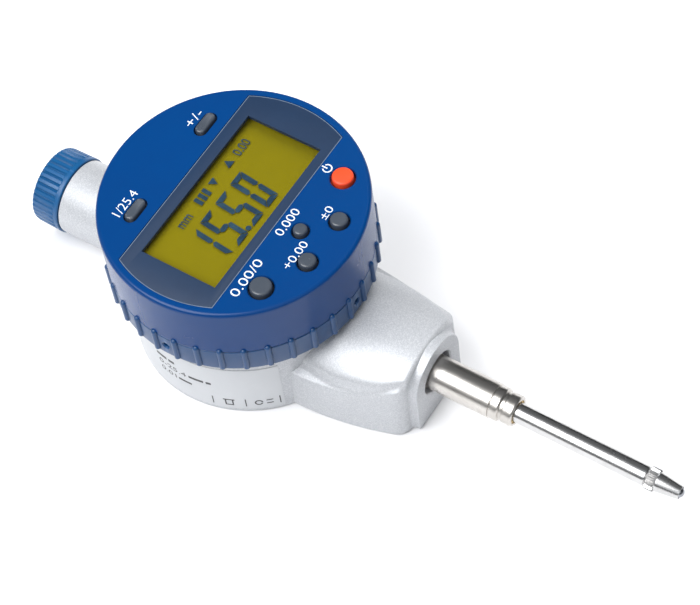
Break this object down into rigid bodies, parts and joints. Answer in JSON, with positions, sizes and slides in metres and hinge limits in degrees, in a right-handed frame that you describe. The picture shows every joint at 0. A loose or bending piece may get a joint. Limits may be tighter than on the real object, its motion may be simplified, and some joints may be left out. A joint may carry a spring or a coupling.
{
  "type": "digital dial indicator",
  "caption": "Digital dial indicator: round blue display head that turns on a cast body, push buttons, smooth stem, sprung spindle with ball contact, fluted dust cap.",
  "frame": {"origin": "centre of the flat back face, on the display head's turning axis", "axes": "+Z out of the display; -Y along the stem to the contact point, +Y to the dust cap; +X to the reader's right"},
  "size_m": [0.0602, 0.1621, 0.0435],
  "materials": {
    "casting": "silver sparkle paint on a die casting",
    "head_blue": "glossy moulded shell",
    "ring_blue": "satin moulding",
    "frame_slate": "satin inlay round the display",
    "lens_clear": "clear window",
    "lcd_olive": "liquid crystal display, olive background",
    "key_grey": "satin button",
    "power_red": "satin button",
    "polished_steel": "ground and polished",
    "carbide": "polished ball",
    "brass": "turned bush",
    "black_oxide": "blackened screw",
    "board_green": "circuit board",
    "silicone": "moulded silicone",
    "nylon": "moulded plastic",
    "label_white": "printed film",
    "spring_steel": "spring wire",
    "ribbon_amber": "flexible circuit"
  },
  "bodies": {
    "main_body": {"cast_body": "casting", "back_cover": "casting", "cover_screw_1": "polished_steel", "cover_screw_2": "polished_steel", "cover_screw_3": "polished_steel", "cover_screw_4": "polished_steel", "wrap_label": "label_white", "stem": "polished_steel", "lower_bush": "brass", "upper_bush": "brass", "rear_bush": "brass", "guide_rail": "nylon", "reader_board": "board_green", "ribbon_cable": "ribbon_amber", "return_spring": "spring_steel"},
    "spindle_assembly": {"spindle": "polished_steel", "contact_point": "polished_steel", "contact_ball": "carbide", "scale_carriage": "nylon", "scale_strip": "board_green", "guide_pin": "polished_steel"},
    "display_head": {"head_shell": "head_blue", "grip_ring": "ring_blue", "head_grub_screw_1": "black_oxide", "head_grub_screw_2": "black_oxide", "head_grub_screw_3": "black_oxide", "head_grub_screw_4": "black_oxide", "display_frame": "frame_slate", "window_lens": "lens_clear", "lcd_glass": "lcd_olive", "contact_strip_1": "silicone", "contact_strip_2": "silicone", "main_board": "board_green", "board_screw_1": "polished_steel", "board_screw_2": "polished_steel", "board_screw_3": "polished_steel", "keypad_lower": "silicone", "keypad_upper_1": "silicone", "keypad_upper_2": "silicone", "battery_holder": "nylon", "coin_battery": "polished_steel"},
    "zero_key": {"zero_button": "key_grey"},
    "preset_key": {"preset_button": "key_grey"},
    "origin_key": {"origin_button": "key_grey"},
    "tolerance_key": {"tolerance_button": "key_grey"},
    "power_key": {"power_button": "power_red"},
    "unit_key": {"unit_button": "key_grey"},
    "direction_key": {"direction_button": "key_grey"},
    "rear_cap": {"dust_cap": "ring_blue"}
  },
  "joints": [
    {"name": "spindle_slide", "type": "slide", "parent": "main_body", "child": "spindle_assembly", "axis": [0, 1, 0], "range_m": [0, 0.0254], "stiffness_N_per_m": 20, "springref_m": -0.03, "deforming": ["return_spring"]},
    {"name": "display_turn", "type": "hinge", "parent": "main_body", "child": "display_head", "pos_m": [0, 0, 0.0282], "axis": [0, 0, 1], "range_deg": [-165, 165]},
    {"name": "zero_press", "type": "slide", "parent": "display_head", "child": "zero_key", "axis": [0, 0, -1], "range_m": [0, 0.0007], "stiffness_N_per_m": 600, "springref_m": -0.0005},
    {"name": "preset_press", "type": "slide", "parent": "display_head", "child": "preset_key", "axis": [0, 0, -1], "range_m": [0, 0.0007], "stiffness_N_per_m": 600, "springref_m": -0.0005},
    {"name": "origin_press", "type": "slide", "parent": "display_head", "child": "origin_key", "axis": [0, 0, -1], "range_m": [0, 0.0007], "stiffness_N_per_m": 600, "springref_m": -0.0005},
    {"name": "tolerance_press", "type": "slide", "parent": "display_head", "child": "tolerance_key", "axis": [0, 0, -1], "range_m": [0, 0.0007], "stiffness_N_per_m": 600, "springref_m": -0.0005},
    {"name": "power_press", "type": "slide", "parent": "display_head", "child": "power_key", "axis": [0, 0, -1], "range_m": [0, 0.0007], "stiffness_N_per_m": 600, "springref_m": -0.0005},
    {"name": "unit_press", "type": "slide", "parent": "display_head", "child": "unit_key", "axis": [0, 0, -1], "range_m": [0, 0.0007], "stiffness_N_per_m": 600, "springref_m": -0.0005},
    {"name": "direction_press", "type": "slide", "parent": "display_head", "child": "direction_key", "axis": [0, 0, -1], "range_m": [0, 0.0007], "stiffness_N_per_m": 600, "springref_m": -0.0005},
    {"name": "cap_turn", "type": "hinge", "parent": "main_body", "child": "rear_cap", "pos_m": [0, 0.05, 0.01149], "axis": [0, 1, 0], "range_deg": [0, 720]}
  ]
}
